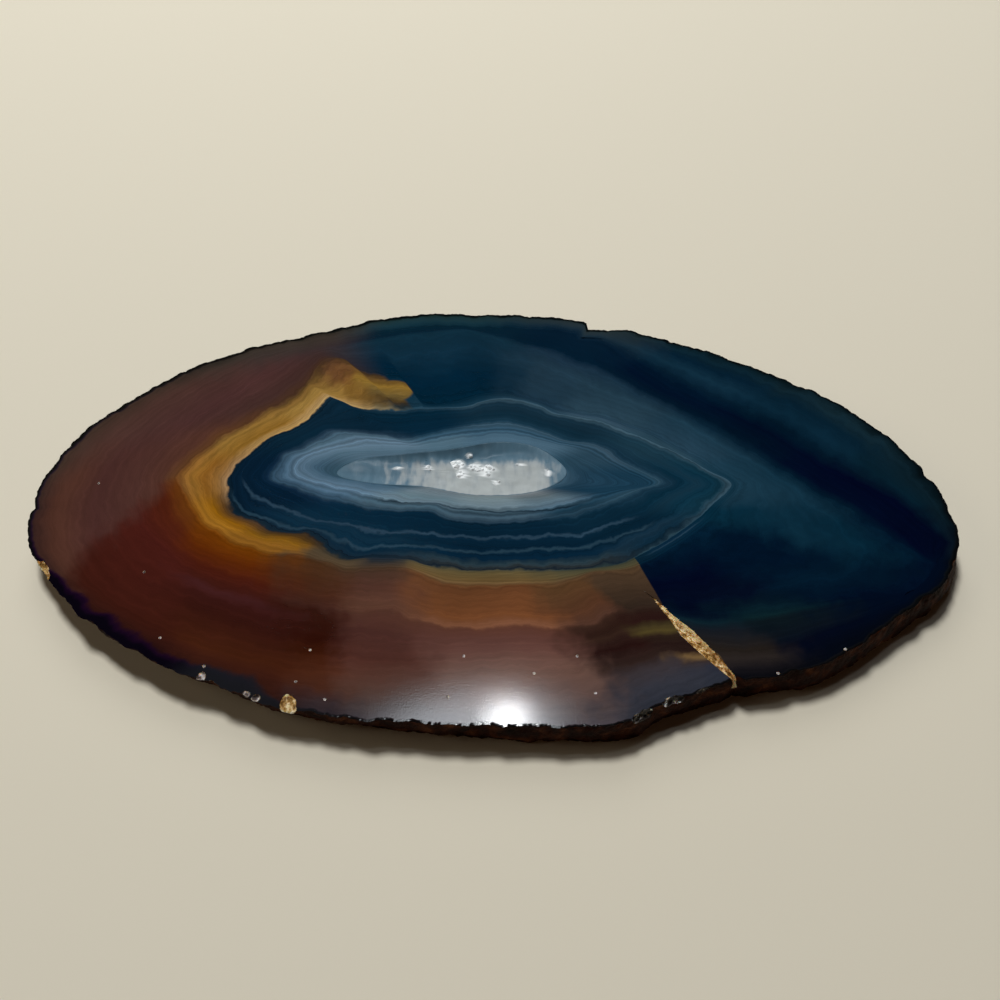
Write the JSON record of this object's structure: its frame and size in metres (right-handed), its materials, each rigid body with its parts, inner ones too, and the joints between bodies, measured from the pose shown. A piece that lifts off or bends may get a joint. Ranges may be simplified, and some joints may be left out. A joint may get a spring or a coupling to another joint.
{
  "type": "polished agate slice",
  "caption": "Oval slab of banded agate, sawn flat and polished, with a rough natural rim, a cracked edge and a shallow hollow lined with quartz crystals.",
  "frame": {"origin": "on the sawn back face, under the middle of the slice", "axes": "+X along the slice towards the dyed blue tip, +Y across it towards its far long side, +Z out of the polished face"},
  "size_m": [0.1361, 0.072, 0.005],
  "materials": {
    "polished_agate": "polished banded agate, brown on one side and dyed blue on the other",
    "clear_quartz": "small clear to grey-white quartz crystals"
  },
  "bodies": {
    "root": {"agate_slab": "polished_agate", "quartz_crust": "clear_quartz"}
  },
  "joints": []
}
